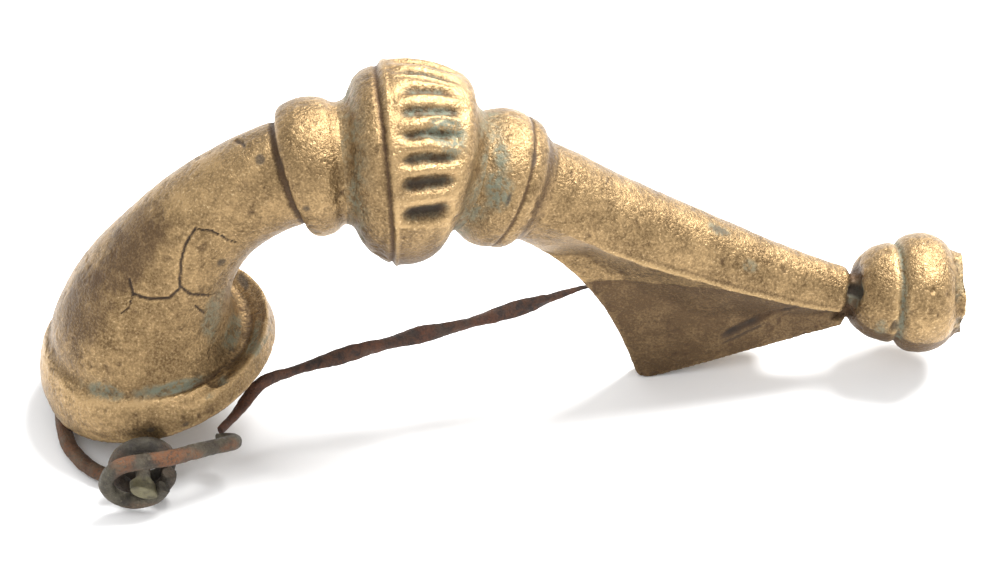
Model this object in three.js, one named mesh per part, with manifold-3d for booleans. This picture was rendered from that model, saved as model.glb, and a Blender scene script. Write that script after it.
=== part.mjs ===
// A Roman strongly profiled bow brooch (fibula) of cast copper alloy, standing as it does on a table:
// on the coils of its spring at the head and on the corner of its catch-plate at the foot.
// Millimetres. +X runs from head to foot, +Y across the brooch, +Z up, and the bow's own plane is Y = 0.
// The brooch is drawn with the spring's axle over X = 0 and the table at Z = 0, then slid along X
// until the middle of its bounding box is over the origin.
import * as THREE from "three";
import { mergeVertices } from "three/addons/utils/BufferGeometryUtils.js";
import Module from "manifold-3d";

const wasm = await Module();
wasm.setup();

// ---------------------------------------------------------------- driving dimensions

// The line that the bow's round sections are strung on: [x, z].
const BOW_LINE = [
  [2.3, 4.0], // middle of the head plate
  [1.55, 6.6],
  [1.95, 9.9],
  [4.1, 14.4],
  [7.5, 18.1],
  [12.2, 20.55],
  [17.0, 21.1], // top of the arch
  [21.5, 20.7],
  [24.8, 19.7],
  [28.5, 18.1],
  [33.0, 15.75],
  [42.0, 11.25],
  [49.0, 7.9],
  [52.4, 6.7], // the neck of the foot
  [56.5, 6.2],
  [61.0, 5.9],
];

// The head plate: a disc with a raised rim and a shallow hollow below.
const PLATE = { radius: 8.75, rim: 2.1, hollow: 1.1, hollowRadius: 7.0 };

// The trumpet's flare from the plate to the first collar: radius and distance along the bow line.
const FLARE = [
  [6.15, 5.2],
  [5.35, 7.8],
  [4.55, 10.8],
  [4.05, 13.8],
  [3.8, 17.0],
];
const WAIST = 3.8; // the bow's radius where it meets the outer side of each collar

// The lug that carries the axle, under the middle of the plate.
const LUG = { width: 1.8, radius: 1.75, bore: 0.9 };

// Beads on the bow: the place of the middle along the bow line, and the largest radius.
const FIRST_COLLAR = { at: 23.0, radius: 5.0 };
const KNOB = { at: 29.4, radius: 7.3 };
const SECOND_COLLAR = { at: 36.5, radius: 5.0 };
const NECK_RADIUS = 4.3; // between each collar and the knob
const BOW_SIDES = 32;

// The flutes lie over the upper side of the knob, six on each half, and fade out at its two edges.
const FLUTES = { count: 12, pitch: THREE.MathUtils.degToRad(15), depth: 0.65, from: -1.6, to: 2.8 };
const SIDES_PER_FLUTE = 4;
const KNOB_SIDES = 60;

// The leg, from the second collar to the foot. Each row: distance along the bow line, half width at
// the two arrises, drop of the arrises below the bow line, height of the back over them, depth of
// the belly below them, and how wedge-shaped the belly is.
const LEG = [
  [38.0, 3.7, 0.0, 3.7, 3.7, 0.0],
  [41.5, 3.5, 0.3, 3.8, 4.0, 0.3],
  [45.0, 3.4, 0.7, 3.7, 4.4, 1.0],
  [50.0, 3.05, 0.75, 3.35, 7.0, 1.0],
  [55.5, 2.6, 0.8, 3.0, 8.5, 1.0],
  [60.0, 2.2, 0.65, 2.55, 5.6, 1.0],
  [64.9, 1.75, 0.5, 2.1, 2.0, 1.0],
];
const BELLY_HOLLOW = 1.8; // over 1, so that the two sides of the belly are hollow

// The catch-plate under the leg, and the gutter for the pin that its lower edge is bent into, on the
// far side.
const CATCH = { thickness: 1.4, corner: [37.3, 0], end: [51.6, 4.0], front: [27.8, 13.9] };
const GUTTER = { length: 10, wall: 0.8, opening: 1.5, height: 2.6 };

// The spring: an axle, what is left of the coils at its two ends, and the chord between them.
const AXLE = { x: 0.5, z: 2.5, radius: 0.6, length: 25.8 };
const WIRE_RADIUS = 0.6;
const COIL = { radius: 1.9, turns: 1.25, outer: 10.75, pitch: 1.3 };
const CHORD = [[-2.4, 8.5, 0.7], [-4.4, 6.0, 0.8], [-5.0, 3.2, 0.85]];

// The loose end turn of the spring, and its wire on to the hook that holds the pin.
const LOOP = {
  x: 0.0, y: -12.05, z: 2.95, halfWidth: 2.1, halfHeight: 1.75,
  start: THREE.MathUtils.degToRad(-20), sweep: THREE.MathUtils.degToRad(237.6),
};
const LOOP_WIRE = [
  [2.2, -11.8, 4.75],
  [4.6, -10.7, 4.4],
  [6.4, -9.8, 4.0],
  [7.1, -9.1, 3.6],
  [6.7, -8.5, 3.2],
  [5.8, -8.4, 3.1],
];

// The pin, a flat iron wire twisted along its length: [x, y, z, radius].
const PIN = [
  [6.35, -7.1, 3.35, 0.42],
  [7.4, -6.0, 3.5, 0.5],
  [8.3, -4.9, 3.95, 0.5],
  [9.3, -4.1, 4.6, 0.5],
  [11.5, -3.45, 4.95, 0.52],
  [16.0, -2.4, 5.5, 0.62],
  [20.0, -1.6, 5.95, 0.66],
  [23.0, -1.0, 6.1, 0.55],
  [26.5, -0.4, 6.6, 0.6],
  [30.0, 0.45, 7.0, 0.55],
  [32.2, 1.0, 7.3, 0.34],
  [33.7, 1.3, 7.45, 0.1],
];
const PIN_TWIST = 6.5; // millimetres for half a turn
const PIN_FLATNESS = { wide: 1.12, thin: 0.72 }; // shares of the radius

// ---------------------------------------------------------------- helpers

// A closed three.js geometry as a solid that can be joined and cut.
function solid(geometry) {
  const bare = geometry.clone();
  bare.deleteAttribute("normal");
  bare.deleteAttribute("uv");
  const merged = mergeVertices(bare, 1e-4);
  return new wasm.Manifold(new wasm.Mesh({
    numProp: 3,
    vertProperties: new Float32Array(merged.attributes.position.array),
    triVerts: new Uint32Array(merged.index.array),
  }));
}

// A solid as a geometry that three.js can draw.
function geometryOf(manifold) {
  const { vertProperties, triVerts } = manifold.getMesh();
  const geometry = new THREE.BufferGeometry();
  geometry.setAttribute("position", new THREE.BufferAttribute(vertProperties, 3));
  geometry.setIndex(new THREE.BufferAttribute(triVerts, 1));
  geometry.computeVertexNormals();
  return geometry;
}

// Moves every vertex to the place that a function gives for it.
function reshape(geometry, place) {
  const position = geometry.attributes.position;
  const vertex = new THREE.Vector3();
  for (let i = 0; i < position.count; i++) {
    place(vertex.fromBufferAttribute(position, i));
    position.setXYZ(i, vertex.x, vertex.y, vertex.z);
  }
  return geometry;
}

// ---------------------------------------------------------------- the bow

const bowLine = new THREE.CatmullRomCurve3(
  BOW_LINE.map(([x, z]) => new THREE.Vector3(x, 0, z)), false, "centripetal");
bowLine.arcLengthDivisions = 800;
const BOW_LENGTH = bowLine.getLength();

// The bow's own frame at a distance along its line: the middle, the way along it and the way up.
function bowFrame(distance) {
  const t = THREE.MathUtils.clamp(distance / BOW_LENGTH, 0, 1);
  const along = bowLine.getTangentAt(t);
  const middle = bowLine.getPointAt(t).addScaledVector(along, distance - t * BOW_LENGTH);
  return { middle, along, up: new THREE.Vector3(-along.z, 0, along.x) };
}

// Bends what was turned about the Y axis so that its axis follows the bow line.
function bendToBow(geometry) {
  return reshape(geometry, (vertex) => {
    const { middle, up } = bowFrame(vertex.y);
    const side = new THREE.Vector3(0, vertex.z, 0);
    vertex.copy(middle.addScaledVector(up, vertex.x).add(side));
  });
}

// A turned profile: a path of [radius, distance] that starts and ends on the axis.
function turned(path, sides, steps) {
  return new THREE.LatheGeometry(path.getPoints(steps), sides);
}

function trumpetPath() {
  const { radius, rim, hollow, hollowRadius } = PLATE;
  const path = new THREE.Path();
  path.moveTo(0, hollow);
  path.lineTo(hollowRadius - 0.8, hollow);
  path.lineTo(hollowRadius, 0);
  path.lineTo(radius, 0);
  path.lineTo(radius, rim - 0.8);
  path.quadraticCurveTo(radius, rim, radius - 0.7, rim + 0.1);
  path.quadraticCurveTo(radius - 1.4, rim + 0.4, radius - 1.75, rim + 1.3);
  const flare = [...FLARE, [WAIST, FIRST_COLLAR.at - 1.8]];
  path.splineThru(flare.map(([across, distance]) => new THREE.Vector2(across, distance)));
  const first = FIRST_COLLAR.at;
  path.quadraticCurveTo(FIRST_COLLAR.radius - 0.2, first - 1.6, FIRST_COLLAR.radius, first - 0.2);
  path.quadraticCurveTo(FIRST_COLLAR.radius, first + 1.0, NECK_RADIUS + 0.1, first + 1.5);
  path.lineTo(NECK_RADIUS, first + 2.2);
  const second = SECOND_COLLAR.at;
  path.lineTo(NECK_RADIUS, second - 2.2);
  path.quadraticCurveTo(SECOND_COLLAR.radius - 0.1, second - 1.5, SECOND_COLLAR.radius, second - 0.2);
  path.quadraticCurveTo(SECOND_COLLAR.radius - 0.1, second + 1.4, WAIST, second + 2.1);
  path.lineTo(0, second + 2.1);
  return path;
}

function knobPath() {
  const { at, radius } = KNOB;
  const path = new THREE.Path();
  path.moveTo(0, at - 5.0);
  path.lineTo(NECK_RADIUS - 0.4, at - 5.0);
  path.quadraticCurveTo(NECK_RADIUS + 0.3, at - 3.9, NECK_RADIUS + 1.5, at - 3.5);
  path.quadraticCurveTo(6.5, at - 3.1, 6.5, at - 2.3);
  path.lineTo(6.75, at - 1.8);
  path.quadraticCurveTo(radius, at - 1.3, radius, at - 0.2);
  path.quadraticCurveTo(radius, at + 1.4, 6.5, at + 2.7);
  path.lineTo(5.8, at + 3.2);
  path.quadraticCurveTo(NECK_RADIUS + 0.2, at + 3.4, NECK_RADIUS - 0.4, at + 4.2);
  path.lineTo(0, at + 4.2);
  return path;
}

// How deep the flutes cut at an angle from the top of the knob and a distance from its middle.
function fluteDepth(angle, distance) {
  const { count, pitch, depth, from, to } = FLUTES;
  const turns = angle / pitch;
  if (Math.abs(turns) > count / 2) return 0;
  if (distance < from || distance > to) return 0;
  const across = 0.5 - 0.5 * Math.cos(turns * 2 * Math.PI);
  const along = Math.sin(Math.PI * (distance - from) / (to - from));
  return depth * across * Math.sqrt(along);
}

// Spreads even steps of angle so that each flute has the same few sides, and the plain underside has
// the rest.
function fluteAngle(even) {
  const step = even / (2 * Math.PI) * KNOB_SIDES;
  const fluted = FLUTES.count * SIDES_PER_FLUTE / 2;
  const reach = FLUTES.count * FLUTES.pitch / 2;
  if (Math.abs(step) <= fluted) return step * FLUTES.pitch / SIDES_PER_FLUTE;
  const rest = (Math.abs(step) - fluted) / (KNOB_SIDES / 2 - fluted);
  return Math.sign(step) * THREE.MathUtils.lerp(reach, Math.PI, rest);
}

function flutedKnob() {
  const geometry = turned(knobPath(), KNOB_SIDES, 3);
  reshape(geometry, (vertex) => {
    const radius = Math.hypot(vertex.x, vertex.z);
    const angle = fluteAngle(Math.atan2(vertex.z, vertex.x));
    const left = Math.max(0, radius - fluteDepth(angle, vertex.y - KNOB.at));
    vertex.set(left * Math.cos(angle), vertex.y, left * Math.sin(angle));
  });
  return bendToBow(geometry);
}

// ---------------------------------------------------------------- the leg, the catch-plate and the foot

// An upright slab of an outline in x and z, between two places across the brooch.
function slab(outline, near, far) {
  const geometry = new THREE.ExtrudeGeometry(outline, {
    depth: far - near, bevelEnabled: false, curveSegments: 8,
  });
  return geometry.rotateX(Math.PI / 2).translate(0, far, 0);
}

const LEG_SIDES = 28;

// The numbers of LEG at any distance between its rows.
function legSection(distance) {
  const row = Math.max(0, Math.min(LEG.findLastIndex((r) => r[0] <= distance), LEG.length - 2));
  const [a, b] = [LEG[row], LEG[row + 1]];
  const t = (distance - a[0]) / (b[0] - a[0]);
  return a.map((value, i) => THREE.MathUtils.lerp(value, b[i], t));
}

// A rounded back over two sharp arrises, with a belly below that narrows into the catch-plate.
function leg() {
  const start = LEG[0][0];
  const length = LEG[LEG.length - 1][0] - start;
  const geometry = new THREE.CylinderGeometry(1, 1, length, LEG_SIDES, 10);
  return reshape(geometry, (vertex) => {
    const distance = vertex.y + length / 2 + start;
    const [, width, drop, back, belly, wedge] = legSection(distance);
    const { middle, up } = bowFrame(distance);
    const below = Math.max(0, -vertex.x);
    const inside = Math.min(1, Math.hypot(vertex.x, vertex.z));
    const straight = Math.sign(vertex.z) * (1 - below) ** BELLY_HOLLOW * inside;
    const across = below > 0 ? THREE.MathUtils.lerp(vertex.z, straight, wedge) : vertex.z;
    const height = vertex.x * (vertex.x > 0 ? back : belly) - drop;
    vertex.copy(middle.addScaledVector(up, height).add(new THREE.Vector3(0, across * width, 0)));
  });
}

// The catch-plate: a thin wall under the leg with a hollow front edge.
function catchPlate() {
  const { thickness, corner, end, front } = CATCH;
  const outline = new THREE.Shape();
  outline.moveTo(...front);
  outline.quadraticCurveTo(34.0, 10.0, corner[0] - 0.6, corner[1] + 0.6);
  outline.quadraticCurveTo(corner[0] - 0.3, corner[1], corner[0] + 0.6, corner[1]);
  outline.lineTo(...end);
  outline.lineTo(52.4, 6.0);
  outline.lineTo(33.0, 15.0);
  outline.lineTo(27.8, 17.6);
  return slab(outline, -thickness / 2, thickness / 2);
}

// The gutter's floor and its outer lip, which is lower than the plate so that the pin can spring over.
function gutter() {
  const slope = (CATCH.end[1] - CATCH.corner[1]) / (CATCH.end[0] - CATCH.corner[0]);
  const start = CATCH.corner[0] + 0.4;
  const end = start + GUTTER.length;
  const height = (x) => CATCH.corner[1] + slope * (x - CATCH.corner[0]);
  const strip = (tall) => new THREE.Shape([
    new THREE.Vector2(start, height(start)), new THREE.Vector2(end, height(end)),
    new THREE.Vector2(end, height(end) + tall), new THREE.Vector2(start, height(start) + tall),
  ]);
  const inside = CATCH.thickness / 2 + GUTTER.opening;
  const outside = inside + GUTTER.wall;
  return [slab(strip(GUTTER.wall), 0, outside), slab(strip(GUTTER.height), inside, outside)];
}

function footKnob() {
  const foot = LEG[LEG.length - 1][0];
  const path = new THREE.Path();
  path.moveTo(0, foot - 1.0);
  path.lineTo(1.6, foot - 1.0);
  path.lineTo(1.9, foot + 0.2);
  path.quadraticCurveTo(3.6, foot + 0.6, 3.6, foot + 2.6);
  path.lineTo(3.1, foot + 2.9);
  path.quadraticCurveTo(4.35, foot + 3.1, 4.35, foot + 4.9);
  path.quadraticCurveTo(4.3, foot + 6.4, 3.4, foot + 6.9);
  path.lineTo(3.1, foot + 7.9);
  path.lineTo(0, foot + 8.1);
  return bendToBow(turned(path, 24, 3));
}

// A flat lug that reaches down from the plate and around the axle, with a bore that clears it.
function springLug() {
  const outline = new THREE.Shape();
  outline.moveTo(AXLE.x - LUG.radius, AXLE.z + 3.0);
  outline.lineTo(AXLE.x - LUG.radius, AXLE.z);
  outline.absarc(AXLE.x, AXLE.z, LUG.radius, Math.PI, 2 * Math.PI, false);
  outline.lineTo(AXLE.x + LUG.radius, AXLE.z + 3.0);
  const bore = new THREE.Path();
  bore.absarc(AXLE.x, AXLE.z, LUG.bore, 0, 2 * Math.PI, true);
  outline.holes.push(bore);
  return slab(outline, -LUG.width / 2, LUG.width / 2);
}

function bow() {
  const parts = [
    bendToBow(turned(trumpetPath(), BOW_SIDES, 3)), flutedKnob(), leg(), catchPlate(), ...gutter(),
    footKnob(), springLug(),
  ];
  return geometryOf(parts.map(solid).reduce((sum, part) => sum.add(part)));
}

// ---------------------------------------------------------------- the spring and the pin

function axle() {
  return new THREE.CylinderGeometry(AXLE.radius, AXLE.radius, AXLE.length, 14)
    .translate(AXLE.x, 0, AXLE.z);
}

// A round wire along points, with closed ends.
function wire(points, radius, steps) {
  const section = new THREE.Shape().absarc(0, 0, radius, 0, 2 * Math.PI, false);
  const extrudePath = new THREE.CatmullRomCurve3(points);
  return new THREE.ExtrudeGeometry(section, { extrudePath, steps, curveSegments: 4 });
}

// The wire's middle around the axle on the near side, from the outer end inwards.
function coilPoints() {
  const points = [];
  const steps = Math.round(COIL.turns * 12);
  for (let i = 0; i <= steps; i++) {
    const turn = COIL.turns * i / steps;
    const angle = 2 * Math.PI * (COIL.turns - turn) - Math.PI / 2;
    const x = AXLE.x + COIL.radius * Math.cos(angle);
    const z = AXLE.z + COIL.radius * Math.sin(angle);
    points.push(new THREE.Vector3(x, COIL.pitch * turn - COIL.outer, z));
  }
  return points;
}

// Both ends' coils with the chord between them, which are one wire.
function springCoils() {
  const half = [...coilPoints(), ...CHORD.map(([x, y, z]) => new THREE.Vector3(x, -y, z))];
  const mirrored = half.map((p) => new THREE.Vector3(p.x, -p.y, p.z)).reverse();
  return wire([...half, ...mirrored], WIRE_RADIUS, 72);
}

// The end turn, open at the lower right, that runs over its top into the wire to the hook.
function pinLoop() {
  const points = [];
  for (let i = 0; i <= 9; i++) {
    const angle = LOOP.start - i / 9 * LOOP.sweep;
    const x = LOOP.x + LOOP.halfWidth * Math.cos(angle);
    const z = LOOP.z + LOOP.halfHeight * Math.sin(angle);
    points.push(new THREE.Vector3(x, LOOP.y, z));
  }
  return wire([...points, ...LOOP_WIRE.map((p) => new THREE.Vector3(...p))], WIRE_RADIUS, 46);
}

function pin() {
  const line = new THREE.CatmullRomCurve3(PIN.map(([x, y, z]) => new THREE.Vector3(x, y, z)));
  const length = line.getLength();
  const steps = 48;
  const geometry = new THREE.CylinderGeometry(1, 1, 1, 8, steps);
  const top = new THREE.Vector3(0, 0, 1);
  return reshape(geometry, (vertex) => {
    const t = vertex.y + 0.5;
    const row = Math.min(t * (PIN.length - 1), PIN.length - 1.001);
    const radius = THREE.MathUtils.lerp(PIN[Math.floor(row)][3], PIN[Math.floor(row) + 1][3], row % 1);
    const along = line.getTangent(t);
    const side = new THREE.Vector3().crossVectors(top, along).normalize();
    const up = new THREE.Vector3().crossVectors(along, side);
    const twist = Math.PI * t * length / PIN_TWIST;
    const flat = new THREE.Vector2(vertex.x * PIN_FLATNESS.wide, vertex.z * PIN_FLATNESS.thin);
    flat.multiplyScalar(radius).rotateAround(new THREE.Vector2(), twist);
    vertex.copy(line.getPoint(t).addScaledVector(up, flat.x).addScaledVector(side, flat.y));
  });
}

// ---------------------------------------------------------------- the brooch

const finish = (color, roughness, metalness) =>
  new THREE.MeshStandardMaterial({ color, roughness, metalness });
const BRONZE = finish(0x9a7a45, 0.45, 0.8);
const SPRING_BRONZE = finish(0x6d6a50, 0.6, 0.6);
const RUSTED_IRON = finish(0x5a3a2a, 0.8, 0.4);

const PIECES = [
  ["bow_casting", bow(), BRONZE],
  ["spring_axle", axle(), SPRING_BRONZE],
  ["spring_coils", springCoils(), SPRING_BRONZE],
  ["pin_loop", pinLoop(), SPRING_BRONZE],
  ["pin", pin(), RUSTED_IRON],
];

const brooch = new THREE.Group();
for (const [name, geometry, material] of PIECES) {
  const mesh = new THREE.Mesh(geometry, material);
  mesh.name = name;
  brooch.add(mesh);
}
const box = new THREE.Box3().setFromObject(brooch, true);
brooch.position.set(-(box.min.x + box.max.x) / 2, -(box.min.y + box.max.y) / 2, -box.min.z);

export default brooch;
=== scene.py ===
import math

import bmesh
import bpy
import numpy as np
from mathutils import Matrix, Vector


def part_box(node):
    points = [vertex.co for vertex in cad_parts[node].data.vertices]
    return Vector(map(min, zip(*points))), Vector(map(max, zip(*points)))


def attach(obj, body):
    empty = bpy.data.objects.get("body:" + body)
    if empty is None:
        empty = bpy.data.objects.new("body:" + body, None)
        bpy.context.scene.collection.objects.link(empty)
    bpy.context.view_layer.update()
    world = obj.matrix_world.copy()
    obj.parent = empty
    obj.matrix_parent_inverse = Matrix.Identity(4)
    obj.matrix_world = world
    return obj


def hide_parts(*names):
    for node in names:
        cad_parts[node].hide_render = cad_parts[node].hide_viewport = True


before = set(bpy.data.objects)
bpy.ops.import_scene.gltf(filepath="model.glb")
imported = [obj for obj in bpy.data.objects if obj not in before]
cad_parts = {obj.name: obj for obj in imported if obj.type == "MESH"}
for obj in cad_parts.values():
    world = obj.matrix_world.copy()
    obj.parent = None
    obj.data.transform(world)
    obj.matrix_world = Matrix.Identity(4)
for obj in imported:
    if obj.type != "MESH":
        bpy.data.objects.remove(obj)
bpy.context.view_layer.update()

# Shapes are made in millimetres, with the spring's axle where the drawing has it and the table at
# z = 0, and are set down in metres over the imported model.
MM = 0.001
AXLE = {"x": 0.5, "z": 2.5, "radius": 0.6, "length": 25.8}
axle_low, axle_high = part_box("spring_axle")
SET_DOWN = (axle_low + axle_high) / 2 - Vector((AXLE["x"], 0, AXLE["z"])) * MM

FINENESS = 1.0


# ---------------------------------------------------------------- lines and outlines

def smooth_line(points, steps=24):
    """A smooth line through points, with the same number of steps between each two."""
    p = np.asarray(points, float)
    p = np.vstack([2 * p[0] - p[1], p, 2 * p[-1] - p[-2]])
    t = np.linspace(0, 1, steps, endpoint=False)[:, None]
    line = []
    for a, b, c, d in zip(p, p[1:], p[2:], p[3:]):
        before, here, after = (math.sqrt(np.linalg.norm(q - r)) for q, r in ((b, a), (c, b), (d, c)))
        leave = ((b - a) / before - (c - a) / (before + here) + (c - b) / here) * here
        arrive = ((c - b) / here - (d - b) / (here + after) + (d - c) / after) * here
        line.append((2 * t**3 - 3 * t**2 + 1) * b + (t**3 - 2 * t**2 + t) * leave
                    + (3 * t**2 - 2 * t**3) * c + (t**3 - t**2) * arrive)
    return np.vstack(line + [p[-2:-1]])


def outline(start, *moves, steps=10):
    """A flat outline: each move is a corner, or a curve given as its pull and its end."""
    points = [np.array(start, float)]
    for move in moves:
        if np.ndim(move[0]) == 0:
            points.append(np.array(move, float))
            continue
        pull, end = (np.array(q, float) for q in move)
        begin = points[-1]
        for t in np.linspace(0, 1, steps + 1)[1:]:
            points.append((1 - t)**2 * begin + 2 * t * (1 - t) * pull + t**2 * end)
    return points


# The line that the bow's round sections are strung on, in x and z.
BOW_LINE = [
    (2.3, 4.0), (1.55, 6.6), (1.95, 9.9), (4.1, 14.4), (7.5, 18.1), (12.2, 20.55), (17.0, 21.1),
    (21.5, 20.7), (24.8, 19.7), (28.5, 18.1), (33.0, 15.75), (42.0, 11.25), (49.0, 7.9), (52.4, 6.7),
    (56.5, 6.2), (61.0, 5.9),
]
RUN_ON = 8.0  # how far the line is carried on straight past its two ends


class BowLine:
    """Distances along the bow, and angles round it from its top, towards +Y."""

    def __init__(self, points):
        line = smooth_line(points, 60)
        along = np.gradient(line, axis=0)
        along /= np.linalg.norm(along, axis=1)[:, None]
        steps = np.linalg.norm(np.diff(line, axis=0), axis=1)
        distance = np.concatenate([[0], np.cumsum(steps)])
        self.distance = np.concatenate([[-RUN_ON], distance, [distance[-1] + RUN_ON]])
        self.line = np.vstack([line[0] - RUN_ON * along[0], line, line[-1] + RUN_ON * along[-1]])
        self.along = np.vstack([along[0], along, along[-1]])

    def at(self, distance):
        """The middle of the bow and its direction at each distance, in x and z."""
        middle = [np.interp(distance, self.distance, self.line[:, i]) for i in (0, 1)]
        along = [np.interp(distance, self.distance, self.along[:, i]) for i in (0, 1)]
        return middle, along

    def bend(self, across, height, distance):
        """Where a point goes that is drawn beside, above and along a straight bow."""
        (x, z), (ax, az) = self.at(distance)
        return np.stack([x - az * height, across, z + ax * height], -1)

    def read(self, places):
        """The distance, the angle and the radius of places on the bow."""
        grid = np.arange(-RUN_ON, self.distance[-1], 0.04)
        (x, z), (ax, az) = self.at(grid)
        distance, height = [], []
        for part in np.array_split(places, max(1, len(places) // 4000)):
            near = ((part[:, None, 0] - x)**2 + (part[:, None, 2] - z)**2).argmin(1)
            gap_x = part[:, 0] - x[near]
            gap_z = part[:, 2] - z[near]
            distance.append(grid[near] + gap_x * ax[near] + gap_z * az[near])
            height.append(gap_z * ax[near] - gap_x * az[near])
        distance, height = np.concatenate(distance), np.concatenate(height)
        return distance, np.degrees(np.arctan2(places[:, 1], height)), np.hypot(height, places[:, 1])


bow_line = BowLine(BOW_LINE)


# ---------------------------------------------------------------- rough shapes

def turned(profile, sides=180):
    """A solid of revolution about Z, from a profile of radius and distance."""
    shape = bmesh.new()
    corners = [shape.verts.new((radius, 0, distance)) for radius, distance in profile]
    edges = [shape.edges.new(pair) for pair in zip(corners, corners[1:])]
    bmesh.ops.spin(shape, geom=corners + edges, cent=(0, 0, 0), axis=(0, 0, 1),
                   angle=math.tau, steps=sides, use_merge=True)
    bmesh.ops.remove_doubles(shape, verts=shape.verts, dist=1e-4)
    bmesh.ops.recalc_face_normals(shape, faces=shape.faces)
    return shape


def on_bow(shape):
    """Bends a shape turned about Z along the bow line."""
    for vertex in shape.verts:
        vertex.co = bow_line.bend(vertex.co.y, vertex.co.x, vertex.co.z)
    bmesh.ops.recalc_face_normals(shape, faces=shape.faces)
    return shape


def slab(corners, near, far, hole=()):
    """An upright slab of an outline in x and z, between two places across the brooch."""
    shape = bmesh.new()
    for loop in (corners, hole):
        ring = [shape.verts.new((x, near, z)) for x, z in loop]
        for pair in zip(ring, ring[1:] + ring[:1]):
            shape.edges.new(pair)
    bmesh.ops.triangle_fill(shape, use_beauty=True, use_dissolve=False, edges=shape.edges)
    side = bmesh.ops.extrude_face_region(shape, geom=shape.faces[:])
    moved = [part for part in side["geom"] if isinstance(part, bmesh.types.BMVert)]
    bmesh.ops.translate(shape, verts=moved, vec=(0, far - near, 0))
    bmesh.ops.recalc_face_normals(shape, faces=shape.faces)
    return shape


def tube(line, radii, sides=20, flat=1.0, twist=0.0):
    """A wire along a line, with closed ends; flat thins it one way, and twist turns it on its way."""
    line = np.asarray(line, float)
    radii = np.broadcast_to(radii, len(line))
    along = np.gradient(line, axis=0)
    along /= np.linalg.norm(along, axis=1)[:, None]
    gone = np.concatenate([[0], np.cumsum(np.linalg.norm(np.diff(line, axis=0), axis=1))])
    side = Vector((0, 0, 1)).cross(Vector(along[0]))
    if side.length < 0.2:
        side = Vector((0, 1, 0)).cross(Vector(along[0]))
    sides_on_way = []
    for way in map(Vector, along):
        side = (side - way * side.dot(way)).normalized()
        sides_on_way.append((side.copy(), way.cross(side)))
    shape = bmesh.new()
    bmesh.ops.create_cone(shape, cap_ends=True, segments=sides, radius1=1, radius2=1, depth=1)
    upright = [edge for edge in shape.edges if abs(edge.verts[0].co.z - edge.verts[1].co.z) > 0.5]
    bmesh.ops.subdivide_edges(shape, edges=upright, cuts=len(line) - 2)
    for vertex in shape.verts:
        row = round((vertex.co.z + 0.5) * (len(line) - 1))
        across, up = sides_on_way[row]
        turn = twist * gone[row]
        p = vertex.co.x * flat * math.cos(turn) - vertex.co.y * math.sin(turn)
        q = vertex.co.x * flat * math.sin(turn) + vertex.co.y * math.cos(turn)
        vertex.co = Vector(line[row]) + (across * p + up * q) * radii[row]
    bmesh.ops.recalc_face_normals(shape, faces=shape.faces)
    return shape


# ---------------------------------------------------------------- casting and surface work

def lumps(places, size, seed=0):
    """Smooth unevenness from -1 to 1 over places, with lumps of a size."""
    grid = places / size + 31.7 * (seed + 1)
    cell = np.floor(grid).astype(np.int64)
    part = grid - cell
    part = part * part * (3 - 2 * part)
    total = np.zeros(len(places))
    for corner in np.ndindex(2, 2, 2):
        key = (cell + corner) @ np.array([73856093, 19349663, 83492791])
        key = (key ^ (key >> 13)) * 1274126177 & 0x7FFFFFFF
        value = ((key ^ (key >> 11)) & 0xFFFF) / 32767.5 - 1
        weight = np.prod(np.where(np.array(corner) == 1, part, 1 - part), axis=1)
        total += value * weight
    return total


def rough(places, size, seed=0, layers=4):
    """Unevenness of several sizes laid over each other."""
    return sum(lumps(places, size / 2**i, seed + i) / 2**i for i in range(layers)) / (2 - 2**(1 - layers))


def step(low, high, value):
    """0 below low, 1 above high, and a smooth rise between."""
    t = np.clip((value - low) / (high - low), 0, 1)
    return t * t * (3 - 2 * t)


def ridge(value, middle, width):
    """1 at the middle, fading out to 0 over about a width on each side."""
    return np.exp(-((value - middle) / width)**2)


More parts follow.
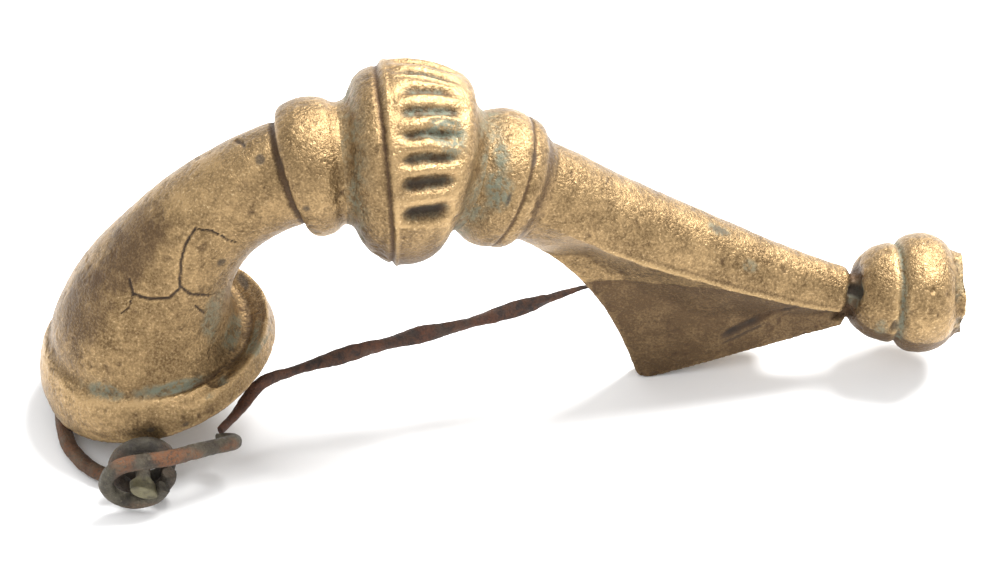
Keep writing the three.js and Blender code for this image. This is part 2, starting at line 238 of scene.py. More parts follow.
class Surface:
    """The points of a finished piece, with the bow's own measures of them, that the details are cut into."""

    def __init__(self, name, shapes, cell, smoothing=3):
        whole = bmesh.new()
        for shape in shapes:
            mesh = bpy.data.meshes.new("shape")
            shape.to_mesh(mesh)
            whole.from_mesh(mesh)
            bpy.data.meshes.remove(mesh)
            shape.free()
        rough_mesh = bpy.data.meshes.new(name + ".rough")
        whole.to_mesh(rough_mesh)
        whole.free()
        source = bpy.data.objects.new(name + ".rough", rough_mesh)
        bpy.context.scene.collection.objects.link(source)
        remesh = source.modifiers.new("join", "REMESH")
        remesh.mode = "VOXEL"
        remesh.voxel_size = cell * FINENESS
        source.modifiers.new("even", "SMOOTH").iterations = smoothing
        graph = bpy.context.evaluated_depsgraph_get()
        self.mesh = bpy.data.meshes.new_from_object(source.evaluated_get(graph))
        bpy.data.objects.remove(source)
        bpy.data.meshes.remove(rough_mesh)
        self.name = name
        self.mesh.name = name
        self.places = self.read("vertices", "co", 3)
        self.edges = self.read("edges", "vertices", 2, np.int32)
        self.marks = {}
        self.measure()

    def read(self, what, field, width, kind=np.float32):
        values = np.zeros(len(getattr(self.mesh, what)) * width, kind)
        getattr(self.mesh, what).foreach_get(field, values)
        return values.reshape(-1, width).astype(float if kind == np.float32 else int)

    def measure(self):
        """Reads the bow's distance, angle and radius and the outward direction at every point."""
        self.distance, self.angle, self.radius = bow_line.read(self.places)
        self.outward = self.directions()

    def directions(self):
        self.mesh.vertices.foreach_set("co", self.places.astype(np.float32).ravel())
        self.mesh.update()
        outward = np.zeros(len(self.places) * 3, np.float32)
        self.mesh.vertex_normals.foreach_get("vector", outward)
        return outward.reshape(-1, 3).astype(float)

    def neighbours(self, values, rounds):
        """Values evened out over the points next to each other."""
        a, b = self.edges.T
        count = np.bincount(self.edges.ravel(), minlength=len(values))
        even = np.array(values, float).reshape(len(values), -1)
        for _ in range(rounds):
            summed = np.stack([np.bincount(a, column[b], len(values)) + np.bincount(b, column[a], len(values))
                               for column in even.T], -1)
            even = (even + summed / count[:, None]) / 2
        return even.reshape(np.shape(values))

    def raise_by(self, height):
        """Moves the surface outwards by a height in millimetres."""
        self.places = self.places + self.outward * np.reshape(height, (-1, 1))

    def hollows(self, rounds):
        """How far each point lies below its surroundings, in millimetres."""
        return ((self.neighbours(self.places, rounds) - self.places) * self.outward).sum(1)

    def mark(self, name, amount):
        """Adds an amount of a finish, from 0 to 1, to the surface."""
        self.marks[name] = np.clip(self.marks.get(name, 0) + amount, 0, 1)

    def piece(self, material, body, nodes, slot):
        """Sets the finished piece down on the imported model."""
        outward = self.directions()
        self.places = self.places * MM + np.array(SET_DOWN)
        self.mesh.vertices.foreach_set("co", self.places.astype(np.float32).ravel())
        for name, amount in self.marks.items():
            layer = self.mesh.attributes.new(name, "FLOAT", "POINT")
            layer.data.foreach_set("value", np.broadcast_to(amount, len(self.places)).astype(np.float32))
        self.mesh.materials.clear()
        self.mesh.materials.append(material)
        self.mesh.shade_smooth()
        self.mesh.update()
        thing = bpy.data.objects.new(self.name, self.mesh)
        bpy.context.scene.collection.objects.link(thing)
        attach(thing, body)
        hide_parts(*nodes)
        return thing


def crack(surface, path, width):
    """How close each point is to a crack, from 0 to 1; the path gives distances and angles on the bow."""
    wander = rough(surface.places, 0.8, 71) * 0.12
    nearness = np.zeros(len(surface.places))
    around = np.radians(surface.angle) * surface.radius
    for (d0, a0), (d1, a1) in zip(path, path[1:]):
        start = np.stack([np.full_like(around, d0), math.radians(a0) * surface.radius], -1)
        end = np.stack([np.full_like(around, d1), math.radians(a1) * surface.radius], -1)
        here = np.stack([surface.distance + wander, around + wander], -1)
        way = end - start
        share = np.clip(((here - start) * way).sum(1) / (way**2).sum(1), 0, 1)
        gap = np.linalg.norm(here - start - way * share[:, None], axis=1)
        nearness = np.maximum(nearness, np.exp(-(gap / width)**2))
    return nearness


# ---------------------------------------------------------------- finishes

class Tint:
    """A number that changes over a surface, so that sums of masks read as sums."""

    def __init__(self, finish, socket):
        self.finish, self.socket = finish, socket

    def sum(self, operation, first, second):
        return self.finish.number("ShaderNodeMath", {"operation": operation}, {0: first, 1: second})

    def __add__(self, other):
        return self.sum("ADD", self, other)

    def __radd__(self, other):
        return self.sum("ADD", other, self)

    def __sub__(self, other):
        return self.sum("SUBTRACT", self, other)

    def __rsub__(self, other):
        return self.sum("SUBTRACT", other, self)

    def __mul__(self, other):
        return self.sum("MULTIPLY", self, other)

    def __rmul__(self, other):
        return self.sum("MULTIPLY", other, self)

    def between(self, low, high):
        """0 up to low, 1 from high on, and a smooth rise between."""
        return self.finish.number(
            "ShaderNodeMapRange", {"interpolation_type": "SMOOTHSTEP"},
            {"Value": self, "From Min": low, "From Max": high, "To Min": 0.0, "To Max": 1.0})

    def kept(self):
        """Held between 0 and 1."""
        return self.finish.number("ShaderNodeClamp", {}, {"Value": self})


class Finish:
    """A material put together from nodes."""

    def __init__(self, name):
        self.material = bpy.data.materials.new(name)
        self.material.use_nodes = True
        self.tree = self.material.node_tree
        self.shader = self.tree.nodes["Principled BSDF"]
        self.place = self.node("ShaderNodeTexCoord").outputs["Object"]

    def node(self, kind, settings=None, values=None):
        """Any node: its settings first, then the values or links of its sockets."""
        made = self.tree.nodes.new(kind)
        for name, setting in (settings or {}).items():
            setattr(made, name, setting)
        for name, value in (values or {}).items():
            self.put(made.inputs[name], value)
        return made

    def put(self, socket, value):
        value = value.socket if isinstance(value, Tint) else value
        if isinstance(value, bpy.types.NodeSocket):
            self.tree.links.new(value, socket)
        else:
            socket.default_value = value

    def number(self, kind, settings, values, output=0):
        return Tint(self, self.node(kind, settings, values).outputs[output])

    def grain(self, size, detail=3.0, roughness=0.6, distortion=0.0):
        """Noise from about 0 to 1 with lumps of a size in millimetres."""
        return self.number("ShaderNodeTexNoise", {}, {
            "Vector": self.place, "Scale": 1 / (size * MM), "Detail": detail, "Roughness": roughness,
            "Distortion": distortion})

    def marks(self, name):
        """An amount that the surface work left on the piece."""
        return self.number("ShaderNodeAttribute", {"attribute_name": name}, {}, "Fac")

    def blend(self, amount, below, above):
        """One colour over another."""
        mixed = self.node("ShaderNodeMix", {"data_type": "RGBA"}, {})
        self.put(mixed.inputs["Factor"], amount)
        self.put(mixed.inputs[6], below)
        self.put(mixed.inputs[7], above)
        return mixed.outputs[2]

    def relief(self, height, strength, depth):
        """A bump whose full height is a depth in millimetres."""
        return self.node("ShaderNodeBump", {}, {"Height": height, "Strength": strength,
                                                "Distance": depth * MM}).outputs["Normal"]

    def wear(self, **sockets):
        """Sets the sockets of the finish itself."""
        for name, value in sockets.items():
            self.put(self.shader.inputs[name.replace("_", " ").title()], value)
        return self.material


def shade(red, green, blue):
    return (red, green, blue, 1.0)


def aged_bronze():
    finish = Finish("aged_bronze")
    sand = finish.grain(0.17, 3.0, 0.65)
    grit = finish.grain(0.42, 3.0, 0.65)
    cloud = finish.grain(2.4, 4.0, 0.6, 0.4)
    broad = finish.grain(7.0, 2.0, 0.5)
    dirt_and_painted_shade, green, rubbed_and_painted_highlight, dark_spots_and_painted_shade = (finish.marks(name) for name in ("dirt_and_painted_shade", "verdigris", "rubbed_and_painted_highlight", "dark_spots_and_painted_shade"))
    # The gold is lighter on rubbed metal and under painted highlights, and darker under dirt and painted shade.
    gold = (sand.between(0.36, 0.66) * 0.45 + grit.between(0.36, 0.64) * 0.25 + cloud.between(0.38, 0.68) * 0.35
            + rubbed_and_painted_highlight * 0.65 + broad.between(0.3, 0.7) * 0.15 - dirt_and_painted_shade * 0.6 - 0.1).kept()
    colour = finish.blend(gold, shade(0.098, 0.061, 0.028), shade(0.345, 0.232, 0.112))
    # Painted glints: pale speckles on the sand grain, strongest on rubbed and highlighted places, stand in for
    # sparkling highlights.
    painted_glint = (sand.between(0.60, 0.72) * (0.25 + rubbed_and_painted_highlight * 0.5) * (1 - dirt_and_painted_shade)).kept()
    colour = finish.blend(painted_glint, colour, shade(0.72, 0.55, 0.33))
    # Dirt and painted shade in hollows, creases and undersides darken the colour to brown.
    colour = finish.blend((dirt_and_painted_shade * (0.5 + grit * 0.5)).kept(), colour, shade(0.060, 0.030, 0.012))
    patina = (green * (0.15 + grit.between(0.38, 0.58) * 0.8)).kept()
    colour = finish.blend(patina, colour, shade(0.135, 0.148, 0.105))
    # Dark pits and cracks, and painted shade in deep recesses, go nearly black.
    colour = finish.blend(dark_spots_and_painted_shade, colour, shade(0.018, 0.011, 0.006))
    dull = (patina + dirt_and_painted_shade * 0.45 + dark_spots_and_painted_shade).kept()
    height = sand * 0.5 + grit * 0.7
    return finish.wear(
        base_color=colour, metallic=(0.92 - dull * 0.7).kept(), normal=finish.relief(height, 1.0, 0.15),
        roughness=(0.40 + dull * 0.32 - rubbed_and_painted_highlight * 0.08 + grit.between(0.3, 0.7) * 0.08 - painted_glint * 0.1).kept())


def spring_bronze():
    finish = Finish("spring_bronze")
    sand = finish.grain(0.2, 4.0, 0.65)
    cloud = finish.grain(1.3, 3.0, 0.6)
    rust, dark_spots_and_painted_shade, green = finish.marks("rust"), finish.marks("dark_spots_and_painted_shade"), finish.marks("verdigris")
    colour = finish.blend(cloud.between(0.35, 0.65), shade(0.030, 0.024, 0.016), shade(0.075, 0.066, 0.046))
    colour = finish.blend((sand.between(0.58, 0.7) * 0.5).kept(), colour, shade(0.17, 0.15, 0.10))
    colour = finish.blend((green * (0.3 + cloud)).kept(), colour, shade(0.15, 0.135, 0.075))
    colour = finish.blend((rust * sand.between(0.3, 0.55)).kept(), colour, shade(0.15, 0.052, 0.014))
    colour = finish.blend(dark_spots_and_painted_shade, colour, shade(0.015, 0.01, 0.007))
    return finish.wear(
        base_color=colour, metallic=(0.5 - rust * 0.4 - dark_spots_and_painted_shade * 0.4).kept(),
        normal=finish.relief(sand + cloud * 0.4, 1.0, 0.16), roughness=(0.5 + rust * 0.3 + dark_spots_and_painted_shade * 0.2).kept())


def rusted_iron():
    finish = Finish("rusted_iron")
    sand = finish.grain(0.18, 4.0, 0.7)
    flakes = finish.grain(0.6, 4.0, 0.65, 0.5)
    cloud = finish.grain(2.2, 2.0, 0.5)
    rust = finish.marks("rust")
    colour = finish.blend(flakes.between(0.35, 0.66), shade(0.022, 0.011, 0.007), shade(0.090, 0.040, 0.021))
    colour = finish.blend((cloud.between(0.5, 0.72) * 0.6).kept(), colour, shade(0.062, 0.040, 0.027))
    colour = finish.blend((rust * (0.3 + sand.between(0.4, 0.6) * 0.7)).kept(), colour, shade(0.12, 0.038, 0.015))
    colour = finish.blend((sand.between(0.62, 0.72) * 0.5).kept(), colour, shade(0.17, 0.095, 0.062))
    return finish.wear(
        base_color=colour, metallic=0.15, normal=finish.relief(sand + flakes * 0.8, 1.0, 0.2),
        roughness=(0.62 + flakes.between(0.4, 0.7) * 0.2).kept())


# ---------------------------------------------------------------- the bow

FOOT = 64.9


def weathered(surface, seed, lump=0.05):
    """The uneven, sandy skin of the old casting, with its hollows darker and its high places rubbed."""
    places = surface.places
    grain = rough(places, 0.55, seed + 9, 2)
    coarse = rough(places, 3.0, seed, 2)
    worn_away = step(0.25, 0.75, rough(places, 0.9, seed + 20, 3))
    surface.raise_by(lump * coarse + 0.035 * grain - 0.07 * worn_away)
    surface.outward = surface.directions()
    fine = surface.hollows(5)
    deep = surface.hollows(60)
    # Hollows are darkened with dirt and painted shade, and high places are rubbed lighter.
    surface.mark("dirt_and_painted_shade", step(0.05, 0.3, deep) * 0.7 + step(0.004, 0.02, fine) * 0.3 + 0.25 * worn_away)
    surface.mark("rubbed_and_painted_highlight", step(0.03, 0.2, -deep) * 0.35 + step(0.003, 0.016, -fine) * 0.3)


def patch(surface, distance, angle, along, around, seed):
    """A ragged patch on the bow, 1 inside and 0 outside; its half sizes are in millimetres."""
    turn = (surface.angle - angle + 180) % 360 - 180
    reach = np.hypot((surface.distance - distance) / along, np.radians(turn) * surface.radius / around)
    return 1 - step(0.55, 1.1, reach + 0.45 * rough(surface.places, 0.9, seed))


# Cracks in the trumpet's skin: distances along the bow and angles round it, and the crack's width.
TRUMPET_CRACKS = [
    ([(9.4, -47), (8.8, -57), (9.1, -70), (9.8, -85), (10.8, -89), (12.6, -73), (13.5, -66), (14.8, -60)], 0.085),
    ([(10.9, -89), (10.6, -101), (10.8, -120)], 0.08),
    ([(14.8, -60), (15.4, -72), (16.0, -102)], 0.05),
    ([(9.8, -110), (9.1, -123)], 0.06),
    ([(8.8, -57), (8.0, -60), (7.4, -57)], 0.04),
    ([(19.0, 14), (19.4, 4), (19.5, -4)], 0.12),
]


def trumpet_head():
    plate = outline(
        (0, 1.1), (6.2, 1.1), (7.0, 0.0), (8.65, 0.0), (8.75, 0.1), (8.7, 1.2), ((8.65, 1.9), (8.1, 2.25)),
        ((7.9, 2.35), (7.75, 2.42)), ((7.3, 2.7), (7.0, 3.35)))
    flare = [(7.0, 3.35), (6.2, 5.2), (5.35, 7.8), (4.55, 10.8), (4.05, 13.8), (3.8, 17.0), (3.78, 21.2)]
    collar = outline(
        (3.85, 21.25), ((4.75, 21.3), (4.98, 22.6)), ((5.0, 24.0), (4.45, 24.45)), ((4.32, 24.6), (4.3, 25.1)),
        (3.6, 25.6), (0, 25.7))
    profile = plate + list(smooth_line(flare, 8)[1:]) + collar
    lug = slab(outline((-1.25, 5.5), (-1.25, 2.5), *arc(0.5, 2.5, 1.75, 190, 350), (2.25, 2.5), (2.25, 5.5)), -0.9, 0.9,
               hole=arc(0.5, 2.5, 0.9, 0, 345, 24))
    surface = Surface("trumpet_head", [on_bow(turned(profile)), lug], 0.135)
    distance, angle = surface.distance, surface.angle
    outside = (surface.radius > 3) & (distance > 0.3)
    ragged = rough(surface.places, 1.2, 61)
    rim = ridge(distance, 2.5 + 0.12 * ragged, 0.24) * step(7.2, 7.5, surface.radius)
    groove = ridge(distance, 3.0 + 0.1 * ragged, 0.3) * outside
    crease = ridge(distance, 21.25 + 0.1 * ragged, 0.22) * outside
    surface.raise_by(0.2 * rim - 0.14 * groove - 0.2 * crease)
    cracks = np.max([crack(surface, path, width) for path, width in TRUMPET_CRACKS], axis=0) * outside
    cracks *= step(-0.75, -0.3, rough(surface.places, 0.7, 63))
    surface.raise_by(-0.16 * cracks)
    weathered(surface, 3, 0.05)
    surface.mark("dark_spots_and_painted_shade", step(0.3, 0.9, cracks) * 0.7)
    near = step(30, 60, -angle)
    # The crease is darkened with painted shade; the cracks and two brown patches are dirt.
    surface.mark("dirt_and_painted_shade", crease * 0.7 + cracks * 0.6 + 0.6 * patch(surface, 10.5, -30, 3.5, 2.5, 65)
                 + 0.45 * patch(surface, 6.0, -25, 2.5, 3.0, 66))
    surface.mark("verdigris", groove * near * 0.7 * step(-0.2, 0.5, ragged)
                 + 0.9 * patch(surface, 3.2, -104, 0.5, 2.4, 67) + 0.8 * patch(surface, 2.9, -62, 0.4, 2.0, 68)
                 + 0.8 * patch(surface, 5.0, -160, 1.8, 2.2, 69) + 0.6 * patch(surface, 8.5, -135, 3.0, 1.2, 70)
                 + 0.6 * patch(surface, 1.6, -118, 0.35, 0.5, 72))
    # The rim's ridge gets a painted highlight, and a patch high on the trumpet is lightened.
    surface.mark("rubbed_and_painted_highlight", rim * (0.6 + 0.4 * step(-0.2, 0.5, ragged)) + 0.5 * patch(surface, 17.0, -20, 4.0, 3.0, 73))
    # Dark pits, with painted shade: a dark patch in the shaded hollow inside the rim on the far side, and a darker
    # crease.
    surface.mark("dark_spots_and_painted_shade", 0.8 * patch(surface, 1.1, -85, 0.25, 0.35, 74) + 0.7 * patch(surface, 0.5, -101, 0.2, 0.35, 75)
                 + 0.8 * patch(surface, 4.8, 152, 0.8, 1.2, 76) + 0.7 * patch(surface, 14.0, -109, 0.5, 0.4, 77)
                 + 0.75 * patch(surface, 20.3, -29, 0.3, 0.45, 78) + 0.7 * patch(surface, 22.2, -86, 0.3, 0.3, 79)
                 + 0.35 * crease * step(-0.1, 0.5, ragged))
    return surface


def arc(x, z, radius, start, end, steps=16):
    """Points on an arc, from one angle to another in degrees."""
    return [(x + radius * math.cos(a), z + radius * math.sin(a))
            for a in np.radians(np.linspace(start, end, steps))]


# The flutes: angle round the knob, half width in degrees, depth, and where they start and end.
FLUTES = [
    (-83.0, 4.6, 0.80, 28.7, 31.9), (-64.5, 4.4, 0.72, 28.5, 31.8), (-50.5, 3.4, 0.56, 28.4, 31.8),
    (-36.5, 3.2, 0.50, 28.4, 31.7), (-22.5, 3.6, 0.46, 28.3, 31.8), (-8.0, 3.4, 0.40, 28.4, 31.5),
    (1.5, 1.8, 0.20, 28.6, 31.4), (8.0, 3.0, 0.38, 28.4, 31.6), (22.0, 3.6, 0.45, 28.4, 31.7),
    (37.0, 3.4, 0.52, 28.4, 31.8), (52.0, 3.6, 0.56, 28.4, 31.7), (67.0, 4.0, 0.62, 28.5, 31.8),
    (82.5, 4.2, 0.66, 28.5, 31.8),
]


def fluted_knob():
    profile = outline(
        (0, 24.5), (4.1, 24.6), (4.32, 24.9), ((4.35, 25.3), (4.8, 25.6)), ((5.75, 25.9), (6.3, 26.5)),
        ((6.6, 26.9), (6.75, 27.4)), ((7.25, 28.0), (7.3, 29.2)), ((7.3, 30.7), (6.8, 31.8)),
        ((6.55, 32.5), (6.0, 32.7)), ((4.75, 33.0), (4.35, 33.9)), (4.2, 34.4), (4.0, 34.6), (0, 34.7))
    surface = Surface("fluted_knob", [on_bow(turned(profile))], 0.095)
    distance, angle = surface.distance, surface.angle
    outer = surface.radius > 4
    ragged = rough(surface.places, 1.1, 81)
    turn = np.abs(angle)
    seam_at = 27.25 + 1.1 * (turn / 126)**1.6
    seam = ridge(distance, seam_at + 0.06 * ragged, 0.17) * outer
    lip = ridge(distance, seam_at + 0.45, 0.2) * outer
    surface.raise_by(0.12 * lip - 0.15 * seam)
    cut = np.zeros(len(angle))
    for at, width, depth, start, end in FLUTES:
        here = at - 1.3 * (distance - 29.6) * math.copysign(1, at + 1) + 1.2 * ragged
        length = step(start - 0.5, start + 0.7, distance) * step(-end - 0.5, -end + 0.9, -distance)
        cut = np.maximum(cut, depth * np.exp(-(np.abs(angle - here) / width)**2) * length)
    surface.raise_by(-cut)
    gone = patch(surface, 30.9, -33, 0.9, 1.1, 83)
    surface.raise_by(-0.22 * gone)
    weathered(surface, 5, 0.045)
    between = step(28.0, 28.4, distance) * step(-32.2, -31.8, -distance) * (turn < 92)
    surface.mark("rubbed_and_painted_highlight", between * (1 - step(0.05, 0.3, cut)) * (0.55 + 0.3 * step(-0.3, 0.4, ragged))
                 + 0.6 * ridge(distance, 32.0, 0.35) * outer * (turn < 110) + 0.3 * lip)
    # The seam and the flutes are darkened with dirt and painted shade, and the knob's underside with painted shade.
    surface.mark("dirt_and_painted_shade", seam * 0.6 + step(0.15, 0.5, cut) * 0.55 + 0.5 * step(95, 125, turn) * outer)
    # Painted shade in the deep flutes, strongest on the near, lower side.
    surface.mark("dark_spots_and_painted_shade", step(0.4, 0.75, cut) * (0.25 + 0.5 * step(52, 72, -angle)))
    upper = step(-58, -20, angle) * step(-30, 0, -angle)
    surface.mark("verdigris", step(0.1, 0.45, cut) * (0.35 + 0.6 * upper) * step(-0.6, 0.2, ragged)
                 + 0.9 * gone + 0.8 * patch(surface, 31.2, -36, 1.0, 1.6, 84)
                 + 0.75 * ridge(distance, 25.6, 0.7) * outer * step(-0.5, 0.3, ragged)
                 + 0.7 * ridge(distance, 33.7, 0.8) * outer * step(-0.5, 0.3, ragged))
    return surface


LEG = [
    (38.0, 3.7, 0.0, 3.7, 3.7, 0.0), (41.5, 3.5, 0.3, 3.8, 4.0, 0.3), (45.0, 3.4, 0.7, 3.7, 4.4, 1.0),
    (50.0, 3.05, 0.75, 3.35, 7.0, 1.0), (55.5, 2.6, 0.8, 3.0, 8.5, 1.0), (60.0, 2.2, 0.65, 2.55, 5.6, 1.0),
    (64.9, 1.75, 0.5, 2.1, 2.0, 1.0),
]
BELLY_HOLLOW = 1.8


def leg_shape():
    """A rounded back over two sharp arrises, with a belly below that narrows into the catch-plate."""
    stations = np.linspace(36.0, FOOT, 60)
    shape = turned([(0, stations[0])] + [(1, d) for d in stations] + [(0, stations[-1])], 140)
    rows = np.array(LEG).T
    for vertex in shape.verts:
        height, across, distance = vertex.co
        width, drop, back, belly, wedge = (np.interp(distance, rows[0], row) for row in rows[1:])
        below = max(0.0, -height)
        if below:
            straight = math.copysign((1 - below)**BELLY_HOLLOW, across) * min(1, math.hypot(height, across))
            across += (straight - across) * wedge
        vertex.co = bow_line.bend(across * width, height * (back if height > 0 else belly) - drop, distance)
    bmesh.ops.recalc_face_normals(shape, faces=shape.faces)
    return shape


def leg_and_foot():
    collar = outline(
        (0, 33.6), (3.6, 33.6), (4.3, 34.0), ((4.5, 34.5), (4.85, 35.2)), ((5.0, 35.6), (4.98, 36.3)),
        ((4.97, 36.8), (4.82, 36.95)), ((4.86, 37.7), (4.5, 38.1)), ((4.0, 38.4), (3.75, 39.0)), (0, 39.0))
    foot = outline(
        (0, 63.9), (1.5, 63.9), (1.6, 64.7), ((2.3, 64.9), (2.7, 65.4)), ((3.45, 66.1), (3.6, 67.6)), (3.45, 67.85),
        (3.2, 67.85), (3.25, 68.0), ((4.3, 68.1), (4.35, 69.7)), ((4.3, 71.2), (3.5, 71.75)), (3.2, 72.2),
        (3.05, 72.8), (0, 72.95))
    wall = outline(
        (27.8, 13.9), ((34.0, 10.4), (36.7, 0.6)), ((37.0, 0.0), (37.9, 0.0)), (51.6, 4.0), (52.4, 6.0), (33.0, 15.0),
        (27.8, 17.6))
    floor_slope = 4.0 / 14.3
    low, high = 0.4 * floor_slope, 10.4 * floor_slope
    gutter = [
        slab([(37.7, low), (47.7, high), (47.7, high + rise), (37.7, low + rise)], near, 3.0)
        for near, rise in ((0.0, 0.8), (2.2, 2.6))
    ]
    surface = Surface("leg_and_foot", [
        on_bow(turned(collar)), on_bow(turned(foot)), leg_shape(), slab(wall, -0.7, 0.7), *gutter], 0.13)
    distance, angle = surface.distance, surface.angle
    ragged = rough(surface.places, 0.8, 91)
    coarse = rough(surface.places, 1.6, 93)
    turn = np.abs(angle)
    rows = np.array(LEG).T
    width, drop = (np.interp(distance, rows[0], rows[i]) for i in (1, 2))
    edge_at = 90 + np.degrees(np.arctan2(drop, width))
    on_leg = step(43.5, 48.5, distance) * step(-64.2, -63.6, -distance)
    arris = ridge(turn, edge_at, 3.6 + 1.0 * ragged) * on_leg * (surface.radius < 4.2)
    neck = ridge(distance, 64.45, 0.38) * (surface.places[:, 2] > 4.6) * (surface.radius < 3)
    band = ridge(distance, 36.95, 0.13) * (surface.radius > 4.2)
    surface.raise_by(0.26 * arris + 0.1 * arris * ragged - 0.45 * neck - 0.08 * band)
    near_side = surface.places[:, 1] < 0
    x, z = surface.places[:, 0], surface.places[:, 2]
    fold_gap = (z - (3.7 + 0.54 * (x - 43.0))) + 0.18 * coarse
    fold_run = step(42.6, 43.6, x) * step(-48.6, -47.2, -x) * near_side
    fold = ridge(fold_gap, 0, 0.30) * fold_run
    under_fold = ridge(fold_gap, -0.75, 0.14) * fold_run * step(-0.4, 0.2, coarse)
    surface.raise_by(-0.28 * fold - 0.08 * under_fold)
    end_face = step(71.7, 72.1, distance)
    surface.raise_by(-0.28 * end_face * step(-0.4, 0.5, coarse) - 0.16 * end_face * np.abs(ragged))
    weathered(surface, 7, 0.045)
    hole = patch(surface, 64.5, -54, 0.55, 0.75, 94)
    foot_pit = patch(surface, 67.5, -95, 0.35, 0.7, 95)
    surface.raise_by(-0.3 * hole - 0.28 * foot_pit - 0.15 * patch(surface, 70.0, -48, 0.2, 0.25, 96))
    surface.mark("rubbed_and_painted_highlight", arris * 0.9 + 0.8 * ridge(distance, 67.6, 0.22) * (surface.radius > 3.2)
                 + 0.25 * (distance > 68.1) * (surface.radius > 3.4) + 0.5 * ridge(distance, 36.2, 0.5) * (turn < 70))
    # Painted shade on the near side below the arris, and dirt and painted shade in the neck notch, the fold and the
    # grooves.
    surface.mark("dirt_and_painted_shade", 0.6 * near_side * (z < 9.5) * (x > 28) * (turn > edge_at + 3) + neck * 0.9 + fold * 0.8
                 + 0.4 * band + 0.5 * ridge(distance, 38.4, 0.35))
    # Painted shade darkens the fold and the line under it; the holes, pits and spots are dark marks.
    surface.mark("dark_spots_and_painted_shade", 0.95 * fold * step(-0.35, 0.25, coarse) + 0.8 * hole + 0.7 * foot_pit + 0.5 * under_fold
                 + 0.7 * patch(surface, 35.9, -70, 0.15, 0.5, 98) + 0.5 * patch(surface, 52.9, -16, 0.8, 0.35, 99)
                 + 0.5 * patch(surface, 36.9, -30, 0.3, 0.9, 100))
    surface.mark("verdigris", 0.75 * ridge(distance, 34.2, 0.6) * (surface.radius > 3.5) * step(-0.5, 0.3, coarse)
                 + 0.85 * patch(surface, 35.2, -66, 0.9, 1.9, 101) + 0.7 * patch(surface, 34.8, -36, 0.7, 1.0, 102)
                 + 0.8 * ridge(distance, 68.0, 0.25) * (turn < 120) + 0.6 * patch(surface, 64.6, -54, 0.8, 1.3, 103)
                 + 0.6 * patch(surface, 52.9, -16, 1.2, 0.6, 104) + 0.5 * patch(surface, 55.7, -61, 0.8, 0.5, 105)
                 + 0.5 * end_face * step(-0.2, 0.5, coarse) + 0.6 * patch(surface, 66.6, -100, 0.5, 0.9, 106))
    return surface


# ---------------------------------------------------------------- the spring and the pin

COIL = {"radius": 1.9, "turns": 1.25, "outer": 10.75, "pitch": 1.3}
CHORD = [(-2.4, 8.5, 0.7), (-4.4, 6.0, 0.8), (-5.0, 3.2, 0.85)]
LOOP = {"x": 0.0, "y": -12.05, "z": 2.95, "wide": 2.1, "high": 1.75}
LOOP_WIRE = [
    (2.2, -11.8, 4.75), (4.6, -10.7, 4.4), (6.4, -9.8, 4.0), (7.1, -9.1, 3.6), (6.7, -8.5, 3.2), (5.8, -8.4, 3.1),
]
PIN = [
    (6.1, -7.5, 3.2, 0.42), (7.4, -6.0, 3.5, 0.5), (8.3, -4.9, 3.95, 0.5), (9.3, -4.1, 4.6, 0.5),
    (11.5, -3.45, 4.95, 0.52), (16.0, -2.4, 5.5, 0.62), (20.0, -1.6, 5.95, 0.66), (23.0, -1.0, 6.1, 0.55),
    (26.5, -0.4, 6.6, 0.6), (30.0, 0.45, 7.0, 0.55), (32.2, 1.0, 7.3, 0.34), (33.7, 1.3, 7.45, 0.1),
]
PIN_TWIST = math.pi / 6.5


def corroded(surface, seed, lump):
    """The pitted, swollen skin of an old wire."""
    swelling = rough(surface.places, 1.6, seed, 2)
    flaking = rough(surface.places, 0.5, seed + 5, 3)
    surface.raise_by(lump * (0.6 * swelling + 0.6 * flaking - 0.5))
    surface.mark("dark_spots_and_painted_shade", 0.5 * step(0.1, 0.6, -flaking))
    surface.mark("rust", 0.25 * step(-0.1, 0.5, swelling))
    return swelling, flaking


def axle():
    line = [(AXLE["x"], y, AXLE["z"]) for y in np.linspace(-12.85, 12.85, 160)]
    surface = Surface("spring_axle", [tube(line, 0.57, 24)], 0.08, 1)
    y = surface.places[:, 1]
    stub = step(-11.2, -12.0, y)
    surface.places[:, 0] += stub * (surface.places[:, 0] - AXLE["x"]) * 0.75
    surface.places[:, 2] += stub * (0.35 * (AXLE["x"] - surface.places[:, 0]))
    surface.outward = surface.directions()
    corroded(surface, 41, 0.07)
    surface.mark("verdigris", 0.9 * stub)
    return surface


def coils():
    half = []
    for turn in np.linspace(0, COIL["turns"], 16):
        angle = math.tau * (COIL["turns"] - turn) - math.pi / 2
        half.append((AXLE["x"] + COIL["radius"] * math.cos(angle), COIL["pitch"] * turn - COIL["outer"],
                     AXLE["z"] + COIL["radius"] * math.sin(angle)))
    half += [(x, -y, z) for x, y, z in CHORD]
    line = smooth_line(half + [(x, -y, z) for x, y, z in reversed(half)], 8)
    surface = Surface("spring_coils", [tube(line, 0.6, 20)], 0.1, 1)
    corroded(surface, 43, 0.08)
    chord = step(-1.2, -2.6, surface.places[:, 0])
    surface.mark("rust", 0.4 * chord)
    surface.mark("dark_spots_and_painted_shade", 0.35 * step(-9.2, -10.2, surface.places[:, 1]))
    return surface


def loop():
    turn = [(LOOP["x"] + LOOP["wide"] * math.cos(a), LOOP["y"], LOOP["z"] + LOOP["high"] * math.sin(a))
            for a in -math.pi / 9 - np.linspace(0, 1, 10) * 1.32 * math.pi]
    line = smooth_line(turn + LOOP_WIRE, 10)
    surface = Surface("pin_loop", [tube(line, 0.6, 24)], 0.08, 1)
    swelling, flaking = corroded(surface, 47, 0.08)
    over = step(3.9, 4.9, surface.places[:, 2] + 0.35 * surface.places[:, 0] * 0.2)
    surface.mark("rust", (0.05 + 0.5 * step(-0.1, 0.4, swelling)) * over)
    return surface


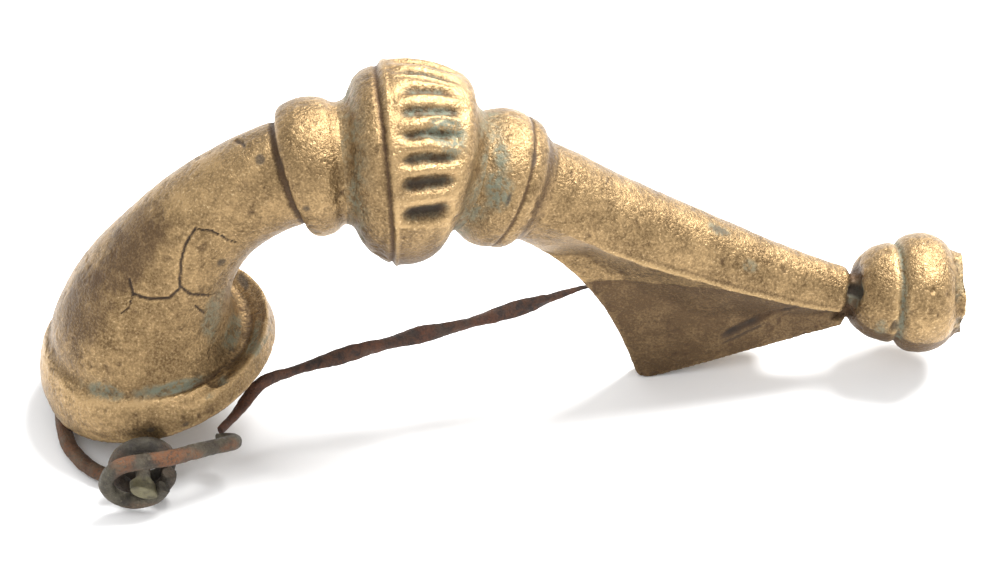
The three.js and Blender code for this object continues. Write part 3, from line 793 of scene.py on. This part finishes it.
def pin():
    line = smooth_line(PIN, 20)
    shape = tube(line[:, :3], line[:, 3] * 1.08, 20, flat=0.7, twist=PIN_TWIST)
    surface = Surface("pin", [shape], 0.075, 1)
    swelling, flaking = corroded(surface, 53, 0.1)
    surface.mark("rust", 0.6 * step(13, 7, surface.places[:, 0]) + 0.3 * step(0.0, 0.5, swelling))
    return surface


bronze, wire_bronze, iron = aged_bronze(), spring_bronze(), rusted_iron()
trumpet_head().piece(bronze, "brooch", ["bow_casting"], "bow_bronze")
fluted_knob().piece(bronze, "brooch", ["bow_casting"], "bow_bronze")
leg_and_foot().piece(bronze, "brooch", ["bow_casting"], "bow_bronze")
axle().piece(wire_bronze, "brooch", ["spring_axle"], "spring_bronze")
coils().piece(wire_bronze, "brooch", ["spring_coils"], "spring_bronze")
loop().piece(wire_bronze, "pin", ["pin_loop"], "spring_bronze")
pin().piece(iron, "pin", ["pin"], "rusted_iron")


# ---------------------------------------------------------------- floor, light and camera

def table_top():
    shape = bmesh.new()
    bmesh.ops.create_grid(shape, x_segments=1, y_segments=1, size=3.0)
    mesh = bpy.data.meshes.new("table_top")
    shape.to_mesh(mesh)
    shape.free()
    thing = bpy.data.objects.new("table_top", mesh)
    bpy.context.scene.collection.objects.link(thing)
    white = Finish("white_table")
    mesh.materials.append(white.wear(base_color=shade(0.9, 0.9, 0.9), roughness=0.9))
    white.shader.inputs["Specular IOR Level"].default_value = 0.1


def lamp(name, place, aim, size, power, tint=(1, 1, 1)):
    light = bpy.data.lights.new(name, "AREA")
    light.shape = "DISK"
    light.size, light.energy, light.color = size, power, tint
    thing = bpy.data.objects.new(name, light)
    bpy.context.scene.collection.objects.link(thing)
    thing.location = place
    thing.rotation_mode = "QUATERNION"
    thing.rotation_quaternion = (Vector(aim) - Vector(place)).to_track_quat("-Z", "Y")


table_top()
world = bpy.data.worlds.new("studio")
world.use_nodes = True
world.node_tree.nodes["Background"].inputs["Color"].default_value = shade(1.0, 1.0, 1.0)
world.node_tree.nodes["Background"].inputs["Strength"].default_value = 1.05
bpy.context.scene.world = world
bpy.context.scene.view_settings.view_transform = "Standard"
lamp("window", (0.27, 0.20, 0.56), (0, 0, 0.01), 0.36, 12.0)
lamp("bounce", (-0.25, -0.30, 0.50), (0, 0, 0.01), 0.35, 0.8)

camera_data = bpy.data.cameras.new("camera")
camera = bpy.data.objects.new("camera", camera_data)
bpy.context.scene.collection.objects.link(camera)
AIM = Vector((-0.000175, 0, 0.008227))
AZIMUTH, ELEVATION, AWAY = math.radians(-5), math.radians(40), 0.380
back = Vector((math.sin(AZIMUTH) * math.cos(ELEVATION), -math.cos(AZIMUTH) * math.cos(ELEVATION), math.sin(ELEVATION)))
camera.location = AIM + back * AWAY
camera.rotation_mode = "QUATERNION"
camera.rotation_quaternion = back.to_track_quat("Z", "Y")
camera_data.sensor_width = 36.0
camera_data.lens = 190.15
camera_data.clip_start, camera_data.clip_end = 0.01, 20.0
bpy.context.scene.camera = camera
